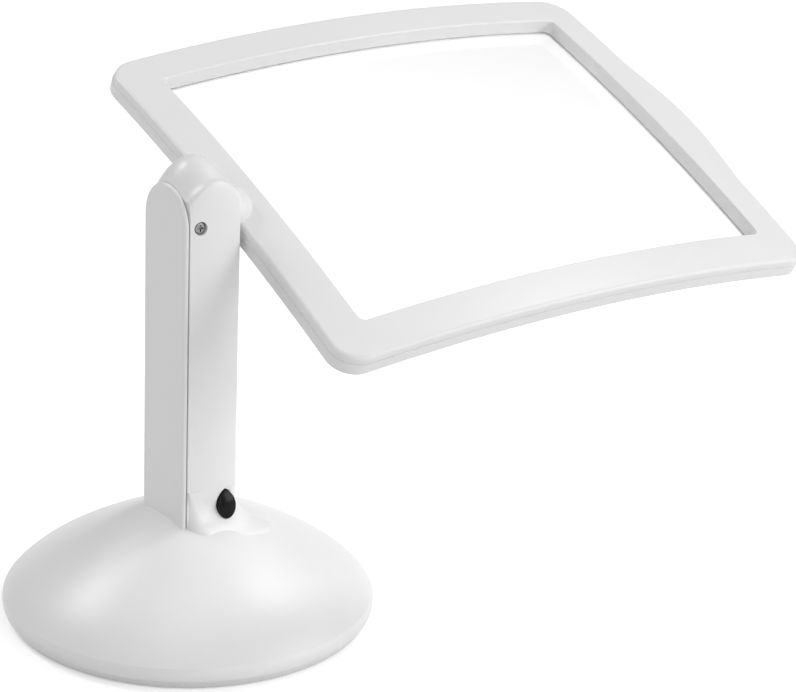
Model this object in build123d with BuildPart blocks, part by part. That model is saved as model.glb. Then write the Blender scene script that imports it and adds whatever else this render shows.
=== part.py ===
"""Hands-free page magnifier: a bowed lens frame that tilts on a pillar above a weighted dome.

Millimetres. The origin is the middle of the base, on the surface it stands on. +Z is up, +X runs
from the pillar to the lens frame, along the tilt axis, and -Y is the side the reader sits at.
"""

import os
from math import cos, radians, sin, sqrt

from build123d import *

os.makedirs("parts", exist_ok=True)

# ---- driving dimensions -------------------------------------------------------------------------
gap = 0.3  # between pieces that move past each other
seat = 0.05  # between pieces that rest on each other
run = 0.05  # radial clearance of a shaft that turns

# dome base
dome_radius = 75.0
dome_height = 45.5
dome_wall = 2.4
rim_bottom = 0.6
rim_bottom_radius = 72.0
rim_height = 9.5
rim_edge_radius = 74.3
boss_ring = 65.5  # radius of the ring of screws that hold the bottom plate

plate_bottom = 1.2
plate_thickness = 2.4
plate_radius = 70.6

weight_radius = 60.0
weight_thickness = 7.0
weight_post_ring = 47.0

foot_ring_radius = 60.0
foot_ring_width = 8.0
foot_ring_depth = 1.7

# batteries under the base: three AAA cells side by side, lying along Y
cell_radius = 5.25
cell_length = 44.5
cell_pitch = 11.2
case_wall = 1.5

# pillar
axis_height = 167.0  # of the tilt axis
pillar_half_width = 14.75  # across Y, at the edges of the sides
pillar_belly = 16.2  # across Y, half way between the sides
pillar_front_x = 12.7  # side facing the lens frame
cover_seam_x = -10.75  # joint between shell and cover
cover_face_x = -13.0  # outer side of the cover
crown_height = 23.6  # above the tilt axis, half way between the sides
pillar_wall = 2.2
groove_chamfer = 0.8  # on the cover, where it meets the shell
cavity_floor = 47.0

# tilt hinge
pin_radius = 2.5
hub_radius = 10.3
hub_face_x = pillar_front_x + gap
washer_radius = 7.0

# lens frame, measured in its own plane
tilt_angle = 23.2  # degrees, far side up, as it stands at rest
frame_start_x = 14.6
frame_length = 242.0
frame_width = 188.6
bar_width = 17.6
frame_depth = 8.6
frame_rise = 10.0  # of the frame's crown above the tilt axis
frame_shift = 3.5  # of the frame's middle up the slope from the hub
bow_length_radius = 832.0  # of the bow along X
bow_width_radius = 1112.0  # of the bow across X
frame_corner = 12.0
opening_corner = 3.0
top_edge_radius = 1.8
split_depth = 3.4  # of the joint between the two frame halves, below the face
lens_depth = 6.5
lens_thickness = 1.2
lens_lap = 4.5  # of the lens sheet under the bars

# button
button_x = 6.0
button_z = 50.4
button_half_width = 3.95
button_dome_radius = 15.0
button_dome_drop = 3.0  # the dome's middle below the button's, to follow the flare
button_proud = 2.8
button_room = 1.9  # free depth behind the wall, for its travel of 1.2


def write(part, node):
    """Label a finished piece and write it as its own STEP file."""
    part.label = node
    export_step(part, f"parts/{node}.step")


def cross_screw(head_radius, head_height, shank_radius, shank_length):
    """A cross-head screw whose head stands on z = 0 and whose shank hangs below it."""
    slot_width = head_radius * 0.3
    slot_length = head_radius * 1.15
    with BuildPart() as screw:
        Cylinder(head_radius, head_height, align=(Align.CENTER, Align.CENTER, Align.MIN))
        fillet(screw.edges().group_by(Axis.Z)[-1], head_height * 0.45)
        Cylinder(shank_radius, shank_length, align=(Align.CENTER, Align.CENTER, Align.MAX))
        chamfer(screw.edges().group_by(Axis.Z)[0], shank_radius * 0.4)
        with BuildSketch(Plane.XY.offset(head_height)):
            Rectangle(slot_length, slot_width)
            Rectangle(slot_width, slot_length)
        extrude(amount=-head_height * 0.6, mode=Mode.SUBTRACT)
    return screw.part


# ---- dome base ----------------------------------------------------------------------------------
def dome_outline(inset):
    """Half of the dome's section, from its rim to its top, set in by this much."""
    with BuildSketch(Plane.XZ) as section:
        with BuildLine():
            rim = Line(
                (rim_bottom_radius - inset, rim_bottom), (dome_radius - 0.4 - inset, rim_height * 0.45)
            )
            wall = ThreePointArc(
                rim @ 1,
                (dome_radius - inset, rim_height * 0.72 - 0.2 * inset),
                (rim_edge_radius - 0.8 * inset, rim_height - 0.6 * inset),
            )
            Spline(
                wall @ 1,
                (dome_radius * 0.72 - 0.55 * inset, dome_height * 0.565 - 0.83 * inset),
                (dome_radius * 0.4 - 0.38 * inset, dome_height * 0.842 - 0.93 * inset),
                (0, dome_height - inset),
                tangents=((-0.62, 0.78), (-1, 0)),
            )
            Line((0, dome_height - inset), (0, rim_bottom))
            Line((0, rim_bottom), (rim_bottom_radius - inset, rim_bottom))
        make_face()
    return section.sketch


with BuildPart() as dome_solid:
    add(dome_outline(0))
    revolve(axis=Axis.Z)

ceiling = dome_height - 4.0
core_radius = 16.0
boss_count = 4
weight_post_count = 3
wire_hole_radius = 4.0
pillar_screw_x, pillar_screw_y = -5.0, 8.6
weight_bottom = plate_bottom + plate_thickness + 0.4
weight_top = weight_bottom + weight_thickness

inner_outline = dome_outline(dome_wall)
with BuildSketch(Plane.XZ) as dome_hollow:
    add(inner_outline)
    with Locations((0, rim_bottom)):
        Rectangle(core_radius, ceiling - rim_bottom, align=(Align.MIN, Align.MIN))
        Rectangle(plate_radius + 0.2, dome_wall + 0.8, align=(Align.MIN, Align.MIN))
    with Locations((0, ceiling)):
        Rectangle(core_radius + 4, 6, align=(Align.MIN, Align.MIN), mode=Mode.SUBTRACT)

with BuildPart() as base_shell:
    add(dome_solid.part)
    with BuildSketch(Plane.XZ):
        add(dome_hollow.sketch)
    revolve(axis=Axis.Z, mode=Mode.SUBTRACT)
    # bosses for the bottom plate and posts for the ballast, trimmed to the dome
    with BuildSketch(Plane.XY.offset(plate_bottom + plate_thickness + seat)):
        with PolarLocations(boss_ring, boss_count, start_angle=45):
            Circle(3.4)
    extrude(until=Until.NEXT)
    with BuildSketch(Plane.XY.offset(weight_top + seat)):
        with PolarLocations(weight_post_ring, weight_post_count, start_angle=0):
            Circle(3.8)
    extrude(until=Until.NEXT)
    with BuildSketch(Plane.XY.offset(plate_bottom + plate_thickness)):
        with PolarLocations(boss_ring, boss_count, start_angle=45):
            Circle(1.25)
    extrude(amount=7.5, mode=Mode.SUBTRACT)
    with BuildSketch(Plane.XY.offset(weight_top)):
        with PolarLocations(weight_post_ring, weight_post_count, start_angle=0):
            Circle(1.55)
    extrude(amount=9.5, mode=Mode.SUBTRACT)
    with BuildSketch(Plane.XY.offset(ceiling)):
        Circle(wire_hole_radius)
        with Locations((pillar_screw_x, pillar_screw_y), (pillar_screw_x, -pillar_screw_y)):
            Circle(1.6)
    extrude(amount=6, mode=Mode.SUBTRACT)
write(base_shell.part, "base_shell")

# ---- bottom plate, ballast and foot ring --------------------------------------------------------
door_width = 3 * cell_pitch + 1.0
door_length = cell_length + 8.0
door_travel = 6.0
door_thickness = 1.8
plate_top = plate_bottom + plate_thickness
recess_top = plate_bottom + door_thickness + 0.1
case_width = door_width + 2 * case_wall + 1.0
case_length = door_length + 2 * case_wall + 1.0
case_height = 14.4

with BuildPart() as base_plate:
    with BuildSketch(Plane.XY.offset(plate_bottom)):
        Circle(plate_radius)
    extrude(amount=plate_thickness)
    chamfer(base_plate.edges().group_by(Axis.Z)[0], 0.5)
    with BuildSketch(Plane.XY.offset(plate_bottom)):
        Circle(foot_ring_radius + seat)
        Circle(foot_ring_radius - foot_ring_width - seat, mode=Mode.SUBTRACT)
    extrude(amount=foot_ring_depth - plate_bottom, mode=Mode.SUBTRACT)
    # battery hatch: a recess for the door and its slide, and the hatch itself
    with BuildSketch(Plane.XY.offset(plate_bottom)):
        with Locations((0, door_travel / 2)):
            Rectangle(door_width + 4, door_length + 4 + door_travel)
    extrude(amount=recess_top - plate_bottom, mode=Mode.SUBTRACT)
    with BuildSketch(Plane.XY.offset(plate_bottom)):
        Rectangle(door_width - 1.5, door_length - 3)
    extrude(amount=plate_thickness, mode=Mode.SUBTRACT)
    with BuildSketch(Plane.XY.offset(plate_bottom)):
        with PolarLocations(boss_ring, boss_count, start_angle=45):
            Circle(1.6)
    extrude(amount=plate_thickness, mode=Mode.SUBTRACT)
    with BuildSketch(Plane.XY.offset(plate_bottom)):
        with PolarLocations(boss_ring, boss_count, start_angle=45):
            Circle(3.0)
    extrude(amount=1.4, mode=Mode.SUBTRACT)
write(base_plate.part, "base_plate")

with BuildPart() as foot_ring:
    with BuildSketch():
        Circle(foot_ring_radius)
        Circle(foot_ring_radius - foot_ring_width, mode=Mode.SUBTRACT)
    extrude(amount=foot_ring_depth - seat)
    chamfer(foot_ring.edges().group_by(Axis.Z)[0], 0.4)
write(foot_ring.part, "foot_ring")

plate_screw = cross_screw(2.7, 1.2, 1.2, 6.5)
with BuildPart() as base_screws:
    with PolarLocations(boss_ring, boss_count, start_angle=45):
        with Locations((0, 0, plate_bottom + 1.4 - seat)):
            add(plate_screw, rotation=(180, 0, 0))
write(base_screws.part, "base_screws")

with BuildPart() as base_weight:
    with BuildSketch(Plane.XY.offset(weight_bottom)):
        Circle(weight_radius)
        Rectangle(case_width + 1, case_length + 1, mode=Mode.SUBTRACT)
        with PolarLocations(weight_post_ring, weight_post_count, start_angle=0):
            Circle(1.8, mode=Mode.SUBTRACT)
    extrude(amount=weight_thickness)
    with BuildSketch(Plane.XY.offset(weight_bottom)):
        with PolarLocations(weight_post_ring, weight_post_count, start_angle=0):
            Circle(3.6)
    extrude(amount=2.4, mode=Mode.SUBTRACT)
    chamfer(base_weight.edges().group_by(Axis.Z)[-1].filter_by(GeomType.CIRCLE)[:1], 0.8)
write(base_weight.part, "base_weight")

ballast_screw = cross_screw(3.2, 2.0, 1.5, 12.0)
with BuildPart() as weight_screws:
    with PolarLocations(weight_post_ring, weight_post_count, start_angle=0):
        with Locations((0, 0, weight_bottom + 2.4 - seat)):
            add(ballast_screw, rotation=(180, 0, 0))
write(weight_screws.part, "weight_screws")

# ---- battery compartment ------------------------------------------------------------------------
case_bottom = plate_top + seat
cell_z = plate_top + 0.2 + cell_radius

with BuildPart() as battery_case:
    with BuildSketch(Plane.XY.offset(case_bottom)):
        RectangleRounded(case_width, case_length, 1.5)
    extrude(amount=case_height)
    with BuildSketch(Plane.XY.offset(case_bottom)):
        Rectangle(case_width - 2 * case_wall, case_length - 2 * case_wall)
    extrude(amount=case_height - case_wall, mode=Mode.SUBTRACT)
    # low ribs between the cells
    with BuildSketch(Plane.XY.offset(case_bottom + case_height)):
        with Locations((-cell_pitch / 2, 0), (cell_pitch / 2, 0)):
            Rectangle(0.6, cell_length - 10)
    extrude(amount=-case_wall - 2.0)
    # the leads leave through the roof
    with BuildSketch(Plane.XY.offset(case_bottom + case_height)):
        with Locations((0, case_length / 2 - 6)):
            SlotOverall(8, 3)
    extrude(amount=-case_wall, mode=Mode.SUBTRACT)
write(battery_case.part, "battery_case")

with BuildPart() as batteries:
    for index in range(3):
        turn = 1 if index % 2 == 0 else -1
        cell_x = (index - 1) * cell_pitch
        with BuildSketch(Plane(origin=(cell_x, -turn * cell_length / 2, cell_z), z_dir=(0, turn, 0))):
            Circle(cell_radius)
        extrude(amount=cell_length - 1.2)
        knob_y = turn * (cell_length / 2 - 1.2)
        with BuildSketch(Plane(origin=(cell_x, knob_y, cell_z), z_dir=(0, turn, 0))):
            Circle(1.9)
        extrude(amount=1.2)
write(batteries.part, "batteries")

# Stamped contacts: a plate against each end wall, with a bent leaf towards the cell.
def cell_contacts(side):
    """The row of three contact leaves at one end (side is +1 or -1 along Y)."""
    wall_y = side * (case_length / 2 - case_wall - seat)
    tip_y = side * (cell_length / 2 + 0.15)
    with BuildPart() as contacts:
        for index in range(3):
            cell_x = (index - 1) * cell_pitch
            with BuildSketch(Plane.YZ.offset(cell_x)):
                with BuildLine():
                    Polyline(
                        (wall_y, cell_z - 4.5),
                        (wall_y, cell_z + 4.5),
                        (tip_y + side * 1.8, cell_z + 3.0),
                        (tip_y + side * 0.2, cell_z + 0.4),
                        (tip_y + side * 0.2, cell_z - 0.8),
                        (tip_y + side * 1.0, cell_z - 1.2),
                    )
                    inward = Side.LEFT if side > 0 else Side.RIGHT
                    offset(amount=0.2, kind=Kind.INTERSECTION, side=inward)
                make_face()
            extrude(amount=3.5, both=True)
    return contacts.part


write(cell_contacts(1), "battery_contacts_rear")
write(cell_contacts(-1), "battery_contacts_front")

with BuildPart() as battery_door:
    with BuildSketch(Plane.XY.offset(plate_bottom)):
        RectangleRounded(door_width + 3.4, door_length + 3.4, 1.0)
    extrude(amount=door_thickness)
    # finger grooves
    with BuildSketch(Plane.XY.offset(plate_bottom)):
        with GridLocations(0, 2.4, 1, 5):
            SlotOverall(14, 1.2)
    extrude(amount=0.6, mode=Mode.SUBTRACT)
write(battery_door.part, "battery_door")

# ---- pillar -------------------------------------------------------------------------------------
body_middle_x = (cover_seam_x + pillar_front_x) / 2


def arch_section(x, half_width, rise, fullness, bottom=30.0):
    """The pillar's outline across Y at one x: straight sides under a round top.

    fullness is how far the shoulders reach: 0.707 is an ellipse, more is squarer.
    """
    with BuildSketch(Plane(origin=(x, 0, 0), x_dir=(0, 1, 0), z_dir=(1, 0, 0))) as section:
        with BuildLine():
            Line((half_width, bottom), (half_width, axis_height))
            Spline(
                (half_width, axis_height),
                (half_width * fullness, axis_height + rise * fullness),
                (0, axis_height + rise),
                (-half_width * fullness, axis_height + rise * fullness),
                (-half_width, axis_height),
                tangents=((0, 1), (0, -1)),
            )
            Line((-half_width, axis_height), (-half_width, bottom))
            Line((-half_width, bottom), (half_width, bottom))
        make_face()
    return section.sketch


# The crown swells between two round arches, one on each side of the pillar.
with BuildPart() as pillar_body:
    add(arch_section(cover_seam_x, pillar_half_width, pillar_half_width, 0.707))
    add(arch_section(body_middle_x, pillar_belly, crown_height, 0.76))
    add(arch_section(pillar_front_x, pillar_half_width, pillar_half_width, 0.707))
    loft()
    fillet(pillar_body.faces().sort_by(Axis.X)[-1].edges(), 2.4)

# The foot flares out onto the dome: further towards the lens frame than to the sides.
flare_top = 58.0
flare_side_top = 52.5
flare_bottom = 37.0
flare_front_radius = 21.5
flare_side_radius = 13.0
flare_steps = 7
flare_sink = 0.2  # inside the pillar where the flare starts
rear_fillet, rear_fillet_growth = 0.6, 8.0
front_fillet, front_fillet_growth = 3.0, 10.0


def flare_growth(z, top, radius):
    """How far a quarter-round flare of this radius stands out at height z."""
    drop = min(max(top - z, 0.0), radius * 0.97)
    return radius - sqrt(radius**2 - drop**2)


with BuildPart() as pillar_foot:
    for index in range(flare_steps):
        z = flare_top - (flare_top - flare_bottom) * index / (flare_steps - 1)
        grown_x = flare_growth(z, flare_top, flare_front_radius)
        grown_y = flare_growth(z, flare_side_top, flare_side_radius)
        share = index / (flare_steps - 1)
        front_x = pillar_front_x + grown_x - flare_sink
        half_y = pillar_belly + grown_y - flare_sink
        with BuildSketch(Plane.XY.offset(z)) as foot_section:
            with Locations((cover_seam_x, 0)):
                Rectangle(front_x - cover_seam_x, 2 * half_y, align=(Align.MIN, Align.CENTER))
            fillet(foot_section.vertices().group_by(Axis.X)[0], rear_fillet + rear_fillet_growth * share)
            fillet(foot_section.vertices().group_by(Axis.X)[-1], front_fillet + front_fillet_growth * share)
    loft()

cavity_front_x = pillar_front_x - pillar_wall
cavity_half_width = pillar_half_width - pillar_wall
block_front_x = cavity_front_x - seat
window_bottom, window_top, window_half_width = 92.0, 122.0, 7.0
lug_screw_x = -6.5
board_boss_z = (window_bottom - 6.0, window_top + 6.0)
block_boss = ((8.3, axis_height - 8.3), (-6.4, axis_height + 6.4))


def drop_outline(half_width, grow=0.0):
    """The button's pointed drop, drawn in the plane of the pillar's front."""
    wide = half_width + grow
    low = 5.6 + grow
    high = 6.1 + grow * 1.6
    with BuildSketch() as drop:
        with BuildLine():
            EllipticalCenterArc((0, 0), wide, low, start_angle=180, arc_size=180)
            ThreePointArc((wide, 0), (wide * 0.74, high * 0.56), (0, high))
            ThreePointArc((0, high), (-wide * 0.74, high * 0.56), (-wide, 0))
        make_face()
    return drop.sketch


button_hole = drop_outline(button_half_width, grow=0.25)


with BuildPart() as pillar_shell:
    add(pillar_body.part)
    add(pillar_foot.part)
    add(dome_solid.part, mode=Mode.SUBTRACT)
    # hollow, open towards the cover
    with BuildSketch(Plane(origin=(cover_seam_x, 0, 0), x_dir=(0, 1, 0), z_dir=(1, 0, 0))):
        with Locations((0, cavity_floor)):
            Rectangle(
                2 * cavity_half_width, axis_height - cavity_floor, align=(Align.CENTER, Align.MIN)
            )
        with Locations((0, axis_height)):
            Circle(cavity_half_width)
    extrude(amount=cavity_front_x - cover_seam_x, mode=Mode.SUBTRACT)
    # bosses for the pillar screws, from the foot's floor
    with BuildSketch(Plane.XY.offset(cavity_floor - 1)):
        with Locations((pillar_screw_x, pillar_screw_y), (pillar_screw_x, -pillar_screw_y)):
            Circle(3.2)
    extrude(amount=11)
    with BuildSketch(Plane.XY.offset(dome_height - 6)):
        with Locations((pillar_screw_x, pillar_screw_y), (pillar_screw_x, -pillar_screw_y)):
            Circle(1.3)
    extrude(amount=16, mode=Mode.SUBTRACT)
    with BuildSketch(Plane.XY.offset(dome_height - 6)):
        Circle(wire_hole_radius)
    extrude(amount=cavity_floor - dome_height + 7, mode=Mode.SUBTRACT)
    # bosses for the pivot block and for the light board, from the side towards the frame
    with BuildSketch(Plane(origin=(cavity_front_x + 1, 0, 0), x_dir=(0, -1, 0), z_dir=(-1, 0, 0))):
        with Locations(*[(-y, z) for y, z in block_boss]):
            Circle(2.6)
    extrude(amount=7)
    with BuildSketch(Plane(origin=(cavity_front_x + 1, 0, 0), x_dir=(0, -1, 0), z_dir=(-1, 0, 0))):
        with Locations(*[(0, z) for z in board_boss_z]):
            Circle(2.4)
    extrude(amount=4.05)
    with BuildSketch(Plane(origin=(cavity_front_x - 7, 0, 0), x_dir=(0, 1, 0), z_dir=(1, 0, 0))):
        with Locations(*[(y, z) for y, z in block_boss]):
            Circle(1.05)
        with Locations(*[(0, z) for z in board_boss_z]):
            Circle(1.05)
    extrude(amount=8, mode=Mode.SUBTRACT)
    # holes: tilt pin, friction washer seat, light window, cover screws, button
    with BuildSketch(Plane(origin=(cavity_front_x - 1, 0, 0), x_dir=(0, 1, 0), z_dir=(1, 0, 0))):
        with Locations((0, axis_height)):
            Circle(pin_radius + 0.3)
        with Locations((0, (window_bottom + window_top) / 2)):
            RectangleRounded(2 * window_half_width, window_top - window_bottom, 2.0)
    extrude(amount=4, mode=Mode.SUBTRACT)
    with BuildSketch(Plane(origin=(pillar_front_x - 1.1, 0, 0), x_dir=(0, 1, 0), z_dir=(1, 0, 0))):
        with Locations((0, axis_height)):
            Circle(washer_radius + 0.3)
    extrude(amount=4, mode=Mode.SUBTRACT)
    with BuildSketch(Plane.XZ.offset(-pillar_belly - 1)):
        with Locations((lug_screw_x, axis_height)):
            Circle(1.5)
    extrude(amount=2 * pillar_belly + 2, mode=Mode.SUBTRACT)
    for side in (1, -1):
        with BuildSketch(Plane.XZ.offset(side * (cavity_half_width + 1.0))):
            with Locations((lug_screw_x, axis_height)):
                Circle(2.7)
        extrude(amount=side * 4, mode=Mode.SUBTRACT)
    hole_front = (button_x, -pillar_belly - 8, button_z)
    with BuildSketch(Plane(origin=hole_front, x_dir=(1, 0, 0), z_dir=(0, -1, 0))):
        add(button_hole)
    extrude(amount=-(pillar_belly + 8 - cavity_half_width + button_room), mode=Mode.SUBTRACT)
write(pillar_shell.part, "pillar_shell")

with BuildPart() as pillar_cover:
    with BuildSketch(Plane(origin=(cover_seam_x - 0.1, 0, 0), x_dir=(0, -1, 0), z_dir=(-1, 0, 0))):
        with Locations((0, axis_height / 2 + 10)):
            Rectangle(2 * pillar_half_width, axis_height - 20)
        with Locations((0, axis_height)):
            Circle(pillar_half_width)
    extrude(amount=cover_seam_x - 0.1 - cover_face_x)
    fillet(pillar_cover.faces().sort_by(Axis.X)[0].edges(), 1.3)
    chamfer(pillar_cover.faces().sort_by(Axis.X)[-1].edges(), groove_chamfer)
    add(dome_solid.part, mode=Mode.SUBTRACT)
    # lugs that the cover screws hold, just inside the pillar's walls
    for side in (1, -1):
        with BuildSketch(Plane.YZ.offset(cover_seam_x - 0.2)):
            with Locations((side * (cavity_half_width - gap - 1.6), axis_height)):
                Rectangle(3.2, 5)
        extrude(amount=7.0)
    with BuildSketch(Plane.XZ.offset(-pillar_belly)):
        with Locations((lug_screw_x, axis_height)):
            Circle(1.1)
    extrude(amount=2 * pillar_belly, mode=Mode.SUBTRACT)
    # a tongue at the foot locates it between the walls
    with BuildSketch(Plane.YZ.offset(cover_seam_x - 0.2)):
        with Locations((0, cavity_floor + 20)):
            Rectangle(2 * cavity_half_width - 1, 26)
            Rectangle(2 * cavity_half_width - 4, 30, mode=Mode.SUBTRACT)
    extrude(amount=2.4)
write(pillar_cover.part, "pillar_cover")

side_screw = cross_screw(2.3, 1.5, 1.05, 8.0)
with BuildPart() as cover_screws:
    for side in (1, -1):
        with Locations((lug_screw_x, side * (cavity_half_width + 1.0 + seat), axis_height)):
            add(side_screw, rotation=(-90 * side, 0, 0))
write(cover_screws.part, "cover_screws")

foot_screw = cross_screw(2.6, 1.6, 1.25, 13.0)
with BuildPart() as pillar_screws:
    with Locations(
        (pillar_screw_x, pillar_screw_y, ceiling - seat),
        (pillar_screw_x, -pillar_screw_y, ceiling - seat),
    ):
        add(foot_screw, rotation=(180, 0, 0))
write(pillar_screws.part, "pillar_screws")

# ---- tilt hinge ---------------------------------------------------------------------------------
block_back_x = -2.0
block_half_width = cavity_half_width - seat
block_drop = 14.0  # of the block's square foot below the axis
pin_back_x = -8.4
pin_front_x = 21.5

with BuildPart() as pivot_block:
    with BuildSketch(Plane.YZ.offset(block_back_x)):
        with Locations((0, axis_height)):
            Circle(block_half_width)
            Rectangle(2 * block_half_width, block_drop, align=(Align.CENTER, Align.MAX))
            Circle(pin_radius + run, mode=Mode.SUBTRACT)
        with Locations(*block_boss):
            Circle(1.3, mode=Mode.SUBTRACT)
    extrude(amount=block_front_x - block_back_x)
    with BuildSketch(Plane.YZ.offset(cavity_front_x - 6.1)):
        with Locations(*block_boss):
            Circle(2.7)
    extrude(amount=7, mode=Mode.SUBTRACT)
write(pivot_block.part, "pivot_block")

inner_screw = cross_screw(2.1, 1.4, 1.0, 10.5)
with BuildPart() as block_screws:
    for y, z in block_boss:
        with Locations((block_back_x - seat, y, z)):
            add(inner_screw, rotation=(0, -90, 0))
write(block_screws.part, "block_screws")

with BuildPart() as pivot_pin:
    with BuildSketch(Plane.YZ.offset(pin_back_x)):
        with Locations((0, axis_height)):
            Circle(pin_radius)
    extrude(amount=pin_front_x - pin_back_x)
    chamfer(pivot_pin.edges().group_by(Axis.X)[0], 0.5)
    chamfer(pivot_pin.edges().group_by(Axis.X)[-1], 0.5)
write(pivot_pin.part, "pivot_pin")


def pin_washer(back_x, thickness, radius, slack):
    """A flat washer on the tilt pin."""
    with BuildPart() as washer:
        with BuildSketch(Plane.YZ.offset(back_x)):
            with Locations((0, axis_height)):
                Circle(radius)
                Circle(pin_radius + slack, mode=Mode.SUBTRACT)
        extrude(amount=thickness)
    return washer.part


write(pin_washer(pillar_front_x - 1.05, 1.2, washer_radius, 0.1), "friction_washer")
write(pin_washer(block_back_x - 0.85, 0.8, 5.0, 0.1), "flat_washer")

# A dished spring washer keeps the hinge stiff enough to hold the frame where it is put.
with BuildPart() as spring_washer:
    with BuildSketch(Plane.XZ):
        with BuildLine():
            Polyline(
                (block_back_x - 0.95, axis_height + 4.8),
                (block_back_x - 1.45, axis_height + 4.8),
                (block_back_x - 2.15, axis_height + pin_radius + 0.15),
                (block_back_x - 1.65, axis_height + pin_radius + 0.15),
                close=True,
            )
        make_face()
    revolve(axis=Axis((0, 0, axis_height), (1, 0, 0)))
write(spring_washer.part, "spring_washer")

with BuildPart() as pin_nut:
    with BuildSketch(Plane.YZ.offset(block_back_x - 5.9)):
        with Locations((0, axis_height)):
            RegularPolygon(4.0, 6, major_radius=False)
            Circle(pin_radius + 0.01, mode=Mode.SUBTRACT)
    extrude(amount=3.6)
    chamfer(pin_nut.edges().group_by(Axis.X)[0].filter_by(GeomType.LINE), 0.4)
write(pin_nut.part, "pin_nut")

# ---- light --------------------------------------------------------------------------------------
window_middle = (window_bottom + window_top) / 2
with BuildPart() as light_window:
    with BuildSketch(Plane.YZ.offset(cavity_front_x - seat)):
        with Locations((0, window_middle)):
            RectangleRounded(2 * window_half_width - 0.3, window_top - window_bottom - 0.3, 1.85)
    extrude(amount=pillar_wall - 0.15)
    with BuildSketch(Plane.YZ.offset(cavity_front_x - seat)):
        with Locations((0, window_middle)):
            Rectangle(2 * window_half_width + 4, window_top - window_bottom + 4)
    extrude(amount=-0.9)
write(light_window.part, "light_window")

board_x = cavity_front_x - 3.05
with BuildPart() as light_board:
    with BuildSketch(Plane.YZ.offset(board_x - seat)):
        with Locations((0, window_middle)):
            Rectangle(2 * window_half_width + 4, board_boss_z[1] - board_boss_z[0] + 7)
        with Locations(*[(0, z) for z in board_boss_z]):
            Circle(1.3, mode=Mode.SUBTRACT)
    extrude(amount=-1.2)
write(light_board.part, "light_board")

with BuildPart() as light_leds:
    for index in range(3):
        led_z = window_middle + (index - 1) * 9.0
        with Locations((board_x, 0, led_z)):
            Box(0.9, 5.0, 5.0, align=(Align.MIN, Align.CENTER, Align.CENTER))
        with BuildSketch(Plane.YZ.offset(board_x + 0.9)):
            with Locations((0, led_z)):
                Circle(2.0)
        extrude(amount=0.7, taper=25)
write(light_leds.part, "light_leds")

board_screw = cross_screw(1.9, 1.2, 1.0, 5.0)
with BuildPart() as board_screws:
    for z in board_boss_z:
        with Locations((board_x - 1.3 - seat, 0, z)):
            add(board_screw, rotation=(0, -90, 0))
write(board_screws.part, "board_screws")

# ---- switch -------------------------------------------------------------------------------------
button_flange_y = -cavity_half_width + gap
stem_end_y = -9.4
switch_front_y = -7.0
switch_back_y = -2.9

button_drop = drop_outline(button_half_width)
with BuildPart() as power_button:
    button_front = (button_x, -pillar_belly - 6, button_z)
    with BuildSketch(Plane(origin=button_front, x_dir=(1, 0, 0), z_dir=(0, -1, 0))):
        add(button_drop)
    extrude(amount=-(pillar_belly + 6 - cavity_half_width))
    # domed front, standing a little proud of the pillar
    dome_y = button_dome_radius - pillar_belly - button_proud
    with Locations((button_x, dome_y, button_z - button_dome_drop)):
        Sphere(button_dome_radius, mode=Mode.INTERSECT)
    # flange behind the wall keeps it in
    with BuildSketch(Plane.XZ.offset(-button_flange_y)):
        with Locations((button_x, button_z + 1.6)):
            Rectangle(8.0, 9.4)
    extrude(amount=-0.9)
    with BuildSketch(Plane.XZ.offset(cavity_half_width)):
        with Locations((button_x, button_z)):
            Circle(2.0)
    extrude(amount=-(cavity_half_width + stem_end_y))
write(power_button.part, "power_button")

with BuildPart() as switch_plunger:
    with BuildSketch(Plane.XZ.offset(-stem_end_y - seat)):
        with Locations((button_x, button_z)):
            Rectangle(3.0, 3.0)
    extrude(amount=-3.6)
write(switch_plunger.part, "switch_plunger")

with BuildPart() as switch_body:
    with Locations((button_x, (switch_front_y + switch_back_y) / 2, button_z + 0.4)):
        Box(7.0, switch_back_y - switch_front_y, 6.4)
    with BuildSketch(Plane.XZ.offset(-switch_front_y)):
        with Locations((button_x, button_z)):
            Rectangle(3.6, 3.6)
    extrude(amount=-2.6, mode=Mode.SUBTRACT)
write(switch_body.part, "switch_body")

with BuildPart() as switch_board:
    with BuildSketch(Plane.XZ.offset(-switch_back_y - seat)):
        with Locations((cavity_front_x - 0.1, cavity_floor + seat)):
            Rectangle(11.2, 17.0, align=(Align.MAX, Align.MIN))
    extrude(amount=-1.2)
write(switch_board.part, "switch_board")

# ---- lens frame ---------------------------------------------------------------------------------
# Its pieces are drawn flat, with the tilt axis along X through the origin, and then tilted up.
frame_plane = Plane(
    origin=(0, 0, axis_height),
    x_dir=(1, 0, 0),
    z_dir=(0, -sin(radians(tilt_angle)), cos(radians(tilt_angle))),
)
frame_middle_x = frame_start_x + frame_length / 2
swell_rise = 5.0  # of the swelling in the middle of the far bar
swell_reach = 46.0
seam_step = 0.35  # by which the lower half stands out past the upper one
skin = 2.0
inner_rim = 1.8
hub_centre_x = hub_face_x + 2.0
tongue_half_length = 17.0


def write_tilted(part, node):
    """Tilt a piece of the lens frame up to its place and write it."""
    write(part.moved(frame_plane.location), node)


def face_height(x, y, depth=0.0):
    """Height above the tilt axis of the sheet this far under the frame's bowed face."""
    across = bow_length_radius - depth
    ring = bow_width_radius - bow_length_radius + sqrt(across**2 - (x - frame_middle_x) ** 2)
    return frame_rise - bow_width_radius + sqrt(ring**2 - (y - frame_shift) ** 2)


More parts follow.
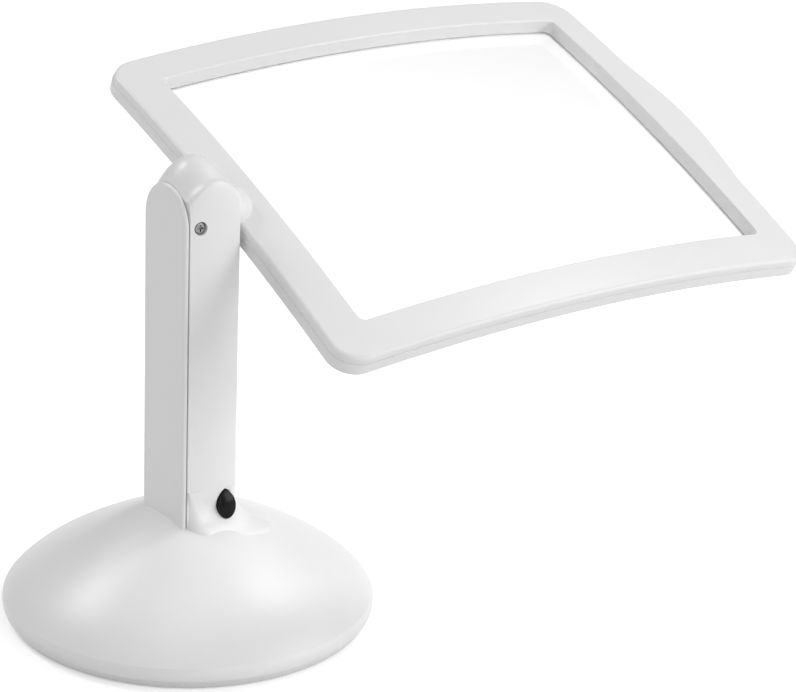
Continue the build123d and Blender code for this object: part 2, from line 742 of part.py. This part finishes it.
def bowed_layer(top_depth, bottom_depth):
    """A sheet bowed both ways, between two depths under the frame's face."""
    half_span = frame_length / 2 + 20
    swing = radians(6.0)
    hinge_point = (frame_middle_x, frame_shift, frame_rise - bow_width_radius)
    start = Plane(origin=hinge_point, x_dir=(1, 0, 0), z_dir=(0, -cos(swing), -sin(swing)))
    middle = bow_width_radius - bow_length_radius
    outer_radius = bow_length_radius - top_depth
    inner_radius = bow_length_radius - bottom_depth
    outer_end = middle + sqrt(outer_radius**2 - half_span**2)
    inner_end = middle + sqrt(inner_radius**2 - half_span**2)
    with BuildPart() as layer:
        with BuildSketch(start):
            with BuildLine():
                ThreePointArc(
                    (-half_span, outer_end), (0, middle + outer_radius), (half_span, outer_end)
                )
                Line((half_span, outer_end), (half_span, inner_end))
                ThreePointArc(
                    (half_span, inner_end), (0, middle + inner_radius), (-half_span, inner_end)
                )
                Line((-half_span, inner_end), (-half_span, outer_end))
            make_face()
        revolve(axis=Axis(hinge_point, (-1, 0, 0)), revolution_arc=12.0)
    return layer.part


def frame_outline(inset, corner):
    """The frame's outline set in by this much, with the swelling on its far side."""
    edge_x = frame_start_x + frame_length - inset
    ends = [(edge_x - 0.5, frame_shift + side * swell_reach) for side in (1, -1)]
    with BuildSketch() as outline:
        with Locations((frame_middle_x, frame_shift)):
            RectangleRounded(frame_length - 2 * inset, frame_width - 2 * inset, corner)
        with BuildLine():
            Spline(
                ends[0],
                (edge_x + swell_rise, frame_shift),
                ends[1],
                tangents=((0.14, -1), (-0.14, -1)),
            )
            Line(ends[1], ends[0])
        make_face()
    return outline.sketch


def opening_outline(grow, corner):
    """The frame's opening, grown by this much all round."""
    with BuildSketch() as outline:
        with Locations((frame_middle_x, frame_shift)):
            RectangleRounded(
                frame_length - 2 * bar_width + 2 * grow,
                frame_width - 2 * bar_width + 2 * grow,
                corner,
            )
    return outline.sketch


upper_outline = frame_outline(seam_step, frame_corner)
lower_outline = frame_outline(0, frame_corner)
upper_cavity = frame_outline(seam_step + skin, frame_corner - skin)
lens_hole = opening_outline(0, opening_corner)
inner_rim_outline = opening_outline(inner_rim, opening_corner + 1)
lens_outline = opening_outline(lens_lap, opening_corner)
rebate_outline = opening_outline(lens_lap + 0.15, opening_corner)
rebate_wall = opening_outline(lens_lap + 1.4, opening_corner + 1)

screw_inset = 7.4
side_screw_y = 52.0
long_screw_x = 72.0
frame_screw_spots = []
for end in (-1, 1):
    for side in (-1, 1):
        frame_screw_spots.append(
            (frame_middle_x + end * (frame_length / 2 - screw_inset), frame_shift + side * side_screw_y)
        )
for column in (-1, 0, 1):
    for side in (-1, 1):
        frame_screw_spots.append(
            (frame_middle_x + column * long_screw_x, frame_shift + side * (frame_width / 2 - screw_inset))
        )
screw_boss_radius = 2.6
screw_sink = 1.15  # of the screw heads below the underside
deep = 60.0  # tall enough to pass through the bowed sheets


def bowed_piece(outline, top_depth, bottom_depth, hole=None):
    """An outline cut from a bowed sheet, less a hole."""
    with BuildPart() as piece:
        with BuildSketch():
            add(outline)
            if hole:
                add(hole, mode=Mode.SUBTRACT)
        extrude(amount=deep, both=True)
        add(bowed_layer(top_depth, bottom_depth), mode=Mode.INTERSECT)
    return piece.part


def circles_at(spots, radius):
    """Round outlines of one radius at all these places."""
    with BuildSketch() as circles:
        with Locations(*spots):
            Circle(radius)
    return circles.sketch


# The hub is a ball on the left bar, flat towards the pillar. A tongue inside the bar carries it.
with BuildPart() as hub_ball:
    with BuildSketch(Plane.XZ):
        with BuildLine():
            Line((hub_face_x, 0), (hub_face_x, hub_radius - 0.9))
            Line((hub_face_x, hub_radius - 0.9), (hub_face_x + 0.7, hub_radius - 0.2))
            Line((hub_face_x + 0.7, hub_radius - 0.2), (hub_centre_x, hub_radius))
            RadiusArc((hub_centre_x, hub_radius), (hub_centre_x + hub_radius, 0), hub_radius)
            Line((hub_centre_x + hub_radius, 0), (hub_face_x, 0))
        make_face()
    revolve(axis=Axis.X)

with BuildPart() as hub_room:
    with Locations((hub_centre_x, 0, 0)):
        Sphere(hub_radius + seat)
    with BuildSketch(Plane.YZ.offset(hub_centre_x)):
        Circle(hub_radius + seat)
    extrude(amount=-12)

with BuildSketch() as tongue_outline:
    with Locations((frame_start_x + skin + 4.6, 0)):
        Rectangle(7.6, 2 * tongue_half_length)
tongue = bowed_piece(tongue_outline.sketch, skin + seat, frame_depth - skin - seat)

with BuildPart() as hinge_hub:
    add(hub_ball.part)
    add(tongue)
    with BuildSketch(Plane.YZ.offset(hub_face_x - 1)):
        Circle(pin_radius + 0.01)
    extrude(amount=pin_front_x - hub_face_x + 1.1, mode=Mode.SUBTRACT)
write_tilted(hinge_hub.part, "hinge_hub")

inner_rim_wall = bowed_piece(inner_rim_outline, 0.5, lens_depth - seat, hole=lens_hole)
screw_bosses = bowed_piece(circles_at(frame_screw_spots, screw_boss_radius), 0.5, lens_depth)
upper_room = bowed_piece(upper_cavity, skin, split_depth + 1, hole=inner_rim_outline)
upper_sheet = bowed_piece(upper_outline, 0, split_depth - seat)

with BuildPart() as frame_top:
    add(upper_sheet)
    fillet(frame_top.faces().sort_by(Axis.Z)[-1].edges(), top_edge_radius)
    with BuildSketch(Plane.XY.offset(-deep)):
        add(lens_hole)
    extrude(amount=2 * deep, mode=Mode.SUBTRACT)
    fillet(frame_top.faces().sort_by(Axis.Z)[-1].inner_wires()[0].edges(), 0.6)
    add(upper_room, mode=Mode.SUBTRACT)
    add(inner_rim_wall)
    add(screw_bosses)
    for x, y in frame_screw_spots:
        with BuildSketch(Plane.XY.offset(face_height(x, y, frame_depth))):
            with Locations((x, y)):
                Circle(1.1)
        extrude(amount=frame_depth - 1.4, mode=Mode.SUBTRACT)
    add(hub_room.part, mode=Mode.SUBTRACT)
write_tilted(frame_top.part, "frame_top")

lower_sheet = bowed_piece(lower_outline, split_depth, frame_depth)
lower_cavity = frame_outline(skin, frame_corner - skin)
lower_room = bowed_piece(lower_cavity, split_depth - 1, frame_depth - skin, hole=rebate_wall)
rebate_room = bowed_piece(rebate_outline, split_depth - 1, lens_depth + lens_thickness + seat)

with BuildPart() as frame_bottom:
    add(lower_sheet)
    underside_face = frame_bottom.faces().sort_by(SortBy.AREA)[-2:].sort_by(Axis.Z)[0]
    fillet(underside_face.edges(), 1.2)
    with BuildSketch(Plane.XY.offset(-deep)):
        add(lens_hole)
    extrude(amount=2 * deep, mode=Mode.SUBTRACT)
    add(lower_room, mode=Mode.SUBTRACT)
    add(rebate_room, mode=Mode.SUBTRACT)
    for x, y in frame_screw_spots:
        underside = face_height(x, y, frame_depth)
        with BuildSketch(Plane.XY.offset(underside - 1)):
            with Locations((x, y)):
                Circle(1.3)
        extrude(amount=5, mode=Mode.SUBTRACT)
        with BuildSketch(Plane.XY.offset(underside - 1)):
            with Locations((x, y)):
                Circle(2.3)
        extrude(amount=1 + screw_sink, mode=Mode.SUBTRACT)
    add(hub_room.part, mode=Mode.SUBTRACT)
write_tilted(frame_bottom.part, "frame_bottom")

lens_sheet = bowed_piece(lens_outline, lens_depth, lens_depth + lens_thickness)
write_tilted(lens_sheet, "lens_sheet")

half_screw = cross_screw(2.1, 1.0, 1.05, 5.4)
with BuildPart() as frame_screws:
    for x, y in frame_screw_spots:
        with Locations((x, y, face_height(x, y, frame_depth) + screw_sink - seat)):
            add(half_screw, rotation=(180, 0, 0))
write_tilted(frame_screws.part, "frame_screws")

# ---- leads inside the stand ---------------------------------------------------------------------
lead_radius = 0.6
lead_pitch = 1.8


def lead_pair(routes, radii, node):
    """Two insulated leads, each along straight runs joined by arcs."""
    with BuildPart() as leads:
        for route in routes:
            with BuildLine() as path:
                FilletPolyline(*route, radius=radii)
            with BuildSketch(Plane(origin=path.line @ 0, z_dir=path.line % 0)):
                Circle(lead_radius)
            sweep(path=path.line)
    write(leads.part, node)


case_exit_y = case_length / 2 - 6
case_exit_z = case_bottom + case_height - 1.2
board_back_y = switch_back_y + 1.25
supply_routes = []
light_routes = []
for side in (-0.5, 0.5):
    apart = side * lead_pitch
    supply_routes.append([
        (apart, case_exit_y, case_exit_z),
        (apart, case_exit_y, 27.0),
        (apart, 6.0, 36.0),
        (apart, 0.4, 45.0),
        (apart + 2.0, 3.4, 57.0),
        (apart + 2.0, board_back_y + seat, 57.0),
    ])
    light_routes.append([
        (apart + 4.0, board_back_y + seat, 60.8),
        (apart + 4.0, 3.2, 60.8),
        (1.4, apart, 82.0),
        (1.4, apart, 94.0),
        (board_x - 1.25 - seat, apart, 94.0),
    ])
lead_pair(supply_routes, [6.0, 6.0, 5.0, 3.0], "supply_wires")
lead_pair(light_routes, [3.0, 10.0, 3.0], "light_wires")
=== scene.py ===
"""Looks of a hands-free page magnifier: its materials, a pale studio and a camera.

Metres, in the row frame: +Z up, +X from the pillar to the lens frame, -Y towards the reader.
"""

from math import cos, radians, sin

import bpy
from mathutils import Matrix, Vector


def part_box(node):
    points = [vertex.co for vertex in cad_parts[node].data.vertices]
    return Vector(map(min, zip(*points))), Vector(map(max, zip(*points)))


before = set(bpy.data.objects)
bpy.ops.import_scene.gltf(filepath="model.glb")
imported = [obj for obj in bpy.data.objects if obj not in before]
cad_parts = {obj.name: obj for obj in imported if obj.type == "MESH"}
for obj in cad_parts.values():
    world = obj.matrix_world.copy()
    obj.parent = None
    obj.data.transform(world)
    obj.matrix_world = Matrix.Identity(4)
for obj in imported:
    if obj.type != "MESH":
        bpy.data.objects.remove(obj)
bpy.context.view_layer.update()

# ---- camera -------------------------------------------------------------------------------------
camera_turn = radians(-37.68)  # from the -Y side towards -X
camera_rise = radians(20.58)
camera_roll = radians(2.30)
camera_place = Vector((-0.5563, -0.8526, 0.4976))
camera_lens = 125.1
camera_sensor = 36.0


def add_camera():
    """A long lens, three quarters from the front and a little above the base."""
    level = cos(camera_rise)
    back = Vector((sin(camera_turn) * level, -cos(camera_turn) * level, sin(camera_rise)))
    right = Vector((cos(camera_turn), sin(camera_turn), 0))
    up = back.cross(right)
    rolled_right = cos(camera_roll) * right + sin(camera_roll) * up
    rolled_up = cos(camera_roll) * up - sin(camera_roll) * right
    data = bpy.data.cameras.new("camera")
    data.lens = camera_lens
    data.sensor_width = camera_sensor
    data.clip_start = 0.05
    data.clip_end = 50.0
    camera = bpy.data.objects.new("camera", data)
    bpy.context.scene.collection.objects.link(camera)
    turn = Matrix((rolled_right, rolled_up, back)).transposed().to_4x4()
    camera.matrix_world = Matrix.Translation(camera_place) @ turn
    bpy.context.scene.camera = camera


# ---- studio -------------------------------------------------------------------------------------
sky_strength = 0.45
floor_size = 14.0
# name, place, point it faces, side, power
softboxes = [
    ("right_softbox", (0.95, -0.15, 1.35), (0, 0, 0.05), 0.20, 5.0),
    ("back_softbox", (-0.45, 0.95, 1.25), (0, 0, 0.05), 0.50, 6.5),
    ("front_softbox", (-0.2, -2.0, 0.9), (0, 0, 0.08), 1.2, 9.5),
    ("reader_softbox", (1.3, -1.5, 0.7), (0, 0, 0.08), 1.0, 15.0),
    ("left_softbox", (-1.9, -0.4, 0.9), (0, 0, 0.08), 1.2, 5.0),
]


def add_softbox(name, place, target, size, power):
    """A square area light that faces a point."""
    data = bpy.data.lights.new(name, "AREA")
    data.shape = "SQUARE"
    data.size = size
    data.energy = power
    light = bpy.data.objects.new(name, data)
    bpy.context.scene.collection.objects.link(light)
    light.location = place
    light.rotation_euler = (Vector(target) - Vector(place)).to_track_quat("-Z", "Y").to_euler()


def add_studio():
    """A pale floor that runs out of sight under an even white sky, and five softboxes."""
    scene = bpy.context.scene
    scene.view_settings.view_transform = "Standard"
    world = bpy.data.worlds.new("studio")
    world.use_nodes = True
    world.node_tree.nodes["Background"].inputs["Color"].default_value = (1.0, 1.0, 1.0, 1.0)
    world.node_tree.nodes["Background"].inputs["Strength"].default_value = sky_strength
    scene.world = world
    for softbox in softboxes:
        add_softbox(*softbox)
    bpy.ops.mesh.primitive_plane_add(size=floor_size, location=(0, 0, 0))
    floor = bpy.context.object
    floor.name = "floor"
    floor.data.materials.append(pale_floor())


# ---- material helpers ---------------------------------------------------------------------------
def blank_material(name):
    """A material with only its output, and its node tree."""
    material = bpy.data.materials.new(name)
    material.use_nodes = True
    tree = material.node_tree
    tree.nodes.clear()
    return material, tree


def node(tree, kind, **values):
    """A node of this kind, with values set on its properties or on its inputs by name."""
    made = tree.nodes.new(kind)
    for key, value in values.items():
        name = key.replace("_", " ")
        sockets = {socket.name.lower(): socket for socket in reversed(made.inputs[:])}
        if name in sockets:
            sockets[name].default_value = value
        else:
            setattr(made, key, value)
    return made


def link(tree, start, end):
    """Join an output to an input."""
    tree.links.new(start, end)


def open_group(name, inputs, outputs):
    """A new shader node group with these float or vector inputs and these outputs."""
    group = bpy.data.node_groups.new(name, "ShaderNodeTree")
    for label, kind, value in inputs:
        socket = group.interface.new_socket(label, in_out="INPUT", socket_type=kind)
        if value is not None:
            socket.default_value = value
    for label, kind in outputs:
        group.interface.new_socket(label, in_out="OUTPUT", socket_type=kind)
    return group, group.nodes.new("NodeGroupInput"), group.nodes.new("NodeGroupOutput")


def use_group(tree, group, vector=None, **values):
    """Place a group in a material, with its own values."""
    placed = tree.nodes.new("ShaderNodeGroup")
    placed.node_tree = group
    if vector is not None:
        link(tree, vector, placed.inputs["Vector"])
    for key, value in values.items():
        placed.inputs[key.replace("_", " ").title()].default_value = value
    return placed


def pale_floor():
    """Matt pale paper, duller in the light that it throws back on the stand."""
    material, tree = blank_material("pale_paper")
    output = node(tree, "ShaderNodeOutputMaterial")
    seen = node(tree, "ShaderNodeBsdfPrincipled", roughness=0.9)
    seen.inputs["Base Color"].default_value = (0.92, 0.92, 0.92, 1.0)
    seen.inputs["Emission Color"].default_value = (1.0, 1.0, 1.0, 1.0)
    seen.inputs["Emission Strength"].default_value = 0.30
    thrown = node(tree, "ShaderNodeBsdfPrincipled", roughness=0.9)
    thrown.inputs["Base Color"].default_value = (0.66, 0.66, 0.66, 1.0)
    ray = node(tree, "ShaderNodeLightPath")
    mixed = node(tree, "ShaderNodeMixShader")
    link(tree, ray.outputs["Is Diffuse Ray"], mixed.inputs[0])
    link(tree, seen.outputs[0], mixed.inputs[1])
    link(tree, thrown.outputs[0], mixed.inputs[2])
    link(tree, mixed.outputs[0], output.inputs["Surface"])
    return material


# ---- effects that several finishes share --------------------------------------------------------
def make_fine_grain():
    """The fine texture that a spark-eroded mould leaves on plastic, and the same on paint."""
    group, start, end = open_group(
        "fine_grain",
        [("Vector", "NodeSocketVector", None), ("Scale", "NodeSocketFloat", 1.0)],
        [("Height", "NodeSocketFloat"), ("Mask", "NodeSocketFloat")],
    )
    pits = node(group, "ShaderNodeTexVoronoi", feature="SMOOTH_F1")
    swells = node(group, "ShaderNodeTexNoise", detail=3.0, roughness=0.6)
    for texture, share in ((pits, 2600.0), (swells, 900.0)):
        scaled = node(group, "ShaderNodeMath", operation="MULTIPLY")
        scaled.inputs[1].default_value = share
        link(group, start.outputs["Scale"], scaled.inputs[0])
        link(group, scaled.outputs[0], texture.inputs["Scale"])
        link(group, start.outputs["Vector"], texture.inputs["Vector"])
    mixed = node(group, "ShaderNodeMath", operation="MULTIPLY_ADD")
    mixed.inputs[1].default_value = 0.6
    link(group, pits.outputs["Distance"], mixed.inputs[0])
    link(group, swells.outputs["Fac"], mixed.inputs[2])
    link(group, mixed.outputs[0], end.inputs["Height"])
    link(group, swells.outputs["Fac"], end.inputs["Mask"])
    return group


def make_handling():
    """Slow, soft patches where hands have polished or greased a surface."""
    group, start, end = open_group(
        "handling",
        [
            ("Vector", "NodeSocketVector", None),
            ("Patch Scale", "NodeSocketFloat", 14.0),
            ("Sharpness", "NodeSocketFloat", 0.2),
        ],
        [("Mask", "NodeSocketFloat")],
    )
    patches = node(group, "ShaderNodeTexNoise", detail=5.0, roughness=0.55)
    patches.inputs["Distortion"].default_value = 0.6
    link(group, start.outputs["Vector"], patches.inputs["Vector"])
    link(group, start.outputs["Patch Scale"], patches.inputs["Scale"])
    low = node(group, "ShaderNodeMath", operation="SUBTRACT")
    low.inputs[0].default_value = 0.5
    high = node(group, "ShaderNodeMath", operation="ADD")
    high.inputs[0].default_value = 0.5
    spread = node(group, "ShaderNodeMapRange", interpolation_type="SMOOTHSTEP")
    link(group, start.outputs["Sharpness"], low.inputs[1])
    link(group, start.outputs["Sharpness"], high.inputs[1])
    link(group, patches.outputs["Fac"], spread.inputs["Value"])
    link(group, low.outputs[0], spread.inputs["From Min"])
    link(group, high.outputs[0], spread.inputs["From Max"])
    link(group, spread.outputs["Result"], end.inputs["Mask"])
    return group


def make_specks():
    """Sparse small specks: dust on a surface, or flecks in a moulding."""
    group, start, end = open_group(
        "specks",
        [
            ("Vector", "NodeSocketVector", None),
            ("Scale", "NodeSocketFloat", 900.0),
            ("Size", "NodeSocketFloat", 0.1),
        ],
        [("Mask", "NodeSocketFloat")],
    )
    cells = node(group, "ShaderNodeTexVoronoi")
    chance = node(group, "ShaderNodeTexNoise", detail=1.0)
    link(group, start.outputs["Vector"], cells.inputs["Vector"])
    link(group, start.outputs["Scale"], cells.inputs["Scale"])
    link(group, start.outputs["Vector"], chance.inputs["Vector"])
    link(group, start.outputs["Scale"], chance.inputs["Scale"])
    near = node(group, "ShaderNodeMath", operation="LESS_THAN")
    link(group, cells.outputs["Distance"], near.inputs[0])
    link(group, start.outputs["Size"], near.inputs[1])
    rare = node(group, "ShaderNodeMath", operation="GREATER_THAN")
    rare.inputs[1].default_value = 0.62
    link(group, chance.outputs["Fac"], rare.inputs[0])
    both = node(group, "ShaderNodeMath", operation="MULTIPLY")
    link(group, near.outputs[0], both.inputs[0])
    link(group, rare.outputs[0], both.inputs[1])
    link(group, both.outputs[0], end.inputs["Mask"])
    return group


fine_grain = make_fine_grain()
handling = make_handling()
specks = make_specks()


# ---- finishes -----------------------------------------------------------------------------------
def finish(
    name, tone, roughness, grain=1.0, depth=0.05, patch=14.0, spread=0.04, fleck=None, **constants
):
    """A moulded, painted or plated finish: grain as bump, and patches in tone and roughness.

    tone is a pair of colours that the patches run between; roughness is its middle value, and
    spread how far the patches move it. fleck is the colour of sparse specks. Other values are set
    on the shader.
    """
    material, tree = blank_material(name)
    output = node(tree, "ShaderNodeOutputMaterial")
    shader = node(tree, "ShaderNodeBsdfPrincipled")
    for key, value in constants.items():
        shader.inputs[key.replace("_", " ").title().replace("Ior", "IOR")].default_value = value
    place = node(tree, "ShaderNodeTexCoord").outputs["Object"]
    grained = use_group(tree, fine_grain, place, scale=grain)
    handled = use_group(tree, handling, place, patch_scale=patch)
    colour = node(tree, "ShaderNodeMix", data_type="RGBA")
    colour.inputs[6].default_value = (*tone[0], 1.0)
    colour.inputs[7].default_value = (*tone[1], 1.0)
    link(tree, handled.outputs["Mask"], colour.inputs[0])
    painted = colour.outputs[2]
    if fleck:
        dotted = use_group(tree, specks, place)
        flecked = node(tree, "ShaderNodeMix", data_type="RGBA")
        flecked.inputs[7].default_value = (*fleck, 1.0)
        link(tree, painted, flecked.inputs[6])
        link(tree, dotted.outputs["Mask"], flecked.inputs[0])
        painted = flecked.outputs[2]
    link(tree, painted, shader.inputs["Base Color"])
    rough = node(tree, "ShaderNodeMapRange", to_min=roughness - spread, to_max=roughness + spread)
    blend = node(tree, "ShaderNodeMath", operation="MULTIPLY_ADD")
    blend.inputs[1].default_value = 0.35
    link(tree, grained.outputs["Mask"], blend.inputs[0])
    link(tree, handled.outputs["Mask"], blend.inputs[2])
    link(tree, blend.outputs[0], rough.inputs["Value"])
    link(tree, rough.outputs["Result"], shader.inputs["Roughness"])
    bump = node(tree, "ShaderNodeBump", strength=depth, distance=0.0002)
    link(tree, grained.outputs["Height"], bump.inputs["Height"])
    link(tree, bump.outputs["Normal"], shader.inputs["Normal"])
    link(tree, shader.outputs[0], output.inputs["Surface"])
    return material


def grey(value):
    """A neutral colour."""
    return (value, value, value)


def assign(material, *names):
    """Give CAD nodes a finish."""
    for name in names:
        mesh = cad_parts[name].data
        mesh.materials.clear()
        mesh.materials.append(material)


shell_tone = (grey(0.72), grey(0.735))
shell_white = finish("shell_white", shell_tone, 0.36, depth=0.06)
assign(
    shell_white, "base_shell", "pillar_shell", "pillar_cover", "frame_top", "frame_bottom", "hinge_hub"
)
inner_grey = finish("inner_grey", (grey(0.50), grey(0.53)), 0.45, depth=0.10)
assign(
    inner_grey, "base_plate", "battery_door", "battery_case", "pivot_block", "switch_body",
    "switch_plunger",
)
gloss_black = finish(
    "gloss_black", (grey(0.002), grey(0.004)), 0.20, depth=0.01, patch=90.0, specular_ior_level=0.14
)
assign(gloss_black, "power_button")
dark_steel = finish(
    "dark_steel", (grey(0.20), grey(0.30)), 0.34, grain=2.0, depth=0.08, patch=220.0, metallic=1.0
)
assign(
    dark_steel, "base_screws", "weight_screws", "pillar_screws", "block_screws", "cover_screws",
    "board_screws", "frame_screws", "pivot_pin", "pin_nut", "flat_washer",
)
bright_strip = finish("bright_strip", (grey(0.60), grey(0.70)), 0.22, patch=200.0, metallic=1.0)
assign(bright_strip, "spring_washer", "battery_contacts_rear", "battery_contacts_front")
ballast_paint = finish("ballast_paint", (grey(0.035), grey(0.05)), 0.55, grain=0.6, depth=0.3)
assign(ballast_paint, "base_weight")
foot_rubber = finish(
    "foot_rubber", (grey(0.02), grey(0.035)), 0.8, grain=0.8, depth=0.4, fleck=grey(0.12)
)
assign(foot_rubber, "foot_ring")
natural_nylon = finish("natural_nylon", ((0.72, 0.70, 0.64), (0.76, 0.74, 0.69)), 0.4)
assign(natural_nylon, "friction_washer")
cell_sleeve = finish("cell_sleeve", ((0.10, 0.11, 0.13), (0.14, 0.15, 0.17)), 0.3, metallic=0.6)
assign(cell_sleeve, "batteries")
board_lacquer = finish(
    "board_lacquer", ((0.03, 0.14, 0.06), (0.05, 0.20, 0.09)), 0.3, patch=260.0, fleck=(0.5, 0.42, 0.2)
)
assign(board_lacquer, "light_board", "switch_board")
led_phosphor = finish("led_phosphor", ((0.80, 0.66, 0.16), (0.85, 0.74, 0.28)), 0.25)
assign(led_phosphor, "light_leds")
lead_jacket = finish("lead_jacket", ((0.45, 0.03, 0.02), (0.52, 0.05, 0.03)), 0.4, depth=0.02)
assign(lead_jacket, "supply_wires", "light_wires")


head_tilt = radians(23.2)  # of the lens frame


def clear_sheet(name, roughness, grooved):
    """Clear acrylic that lets shadow rays through, with a flat lens's faint rings if grooved."""
    material, tree = blank_material(name)
    output = node(tree, "ShaderNodeOutputMaterial")
    shader = node(tree, "ShaderNodeBsdfPrincipled", ior=1.49)
    shader.inputs["Base Color"].default_value = (1.0, 1.0, 1.0, 1.0)
    shader.inputs["Transmission Weight"].default_value = 1.0
    place = node(tree, "ShaderNodeTexCoord").outputs["Object"]
    handled = use_group(tree, handling, place, patch_scale=22.0)
    rough = node(tree, "ShaderNodeMapRange", to_min=roughness, to_max=roughness + 0.03)
    link(tree, handled.outputs["Mask"], rough.inputs["Value"])
    link(tree, rough.outputs["Result"], shader.inputs["Roughness"])
    if grooved:
        low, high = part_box("lens_sheet")
        centred = node(tree, "ShaderNodeMapping", vector_type="TEXTURE")
        centred.inputs["Location"].default_value = (low + high) / 2
        centred.inputs["Rotation"].default_value = (head_tilt, 0, 0)
        rings = node(
            tree, "ShaderNodeTexWave", wave_type="RINGS", rings_direction="Z", wave_profile="SAW"
        )
        rings.inputs["Scale"].default_value = 220.0
        link(tree, place, centred.inputs["Vector"])
        link(tree, centred.outputs[0], rings.inputs["Vector"])
        bump = node(tree, "ShaderNodeBump", strength=0.02, distance=0.0001)
        link(tree, rings.outputs["Fac"], bump.inputs["Height"])
        link(tree, bump.outputs["Normal"], shader.inputs["Normal"])
    ray = node(tree, "ShaderNodeLightPath")
    passing = node(tree, "ShaderNodeBsdfTransparent")
    passing.inputs["Color"].default_value = (0.92, 0.92, 0.92, 1.0)
    mixed = node(tree, "ShaderNodeMixShader")
    link(tree, ray.outputs["Is Shadow Ray"], mixed.inputs[0])
    link(tree, shader.outputs[0], mixed.inputs[1])
    link(tree, passing.outputs[0], mixed.inputs[2])
    link(tree, mixed.outputs[0], output.inputs["Surface"])
    return material


assign(clear_sheet("lens_acrylic", 0.0, True), "lens_sheet")
assign(clear_sheet("window_acrylic", 0.25, False), "light_window")

add_camera()
add_studio()
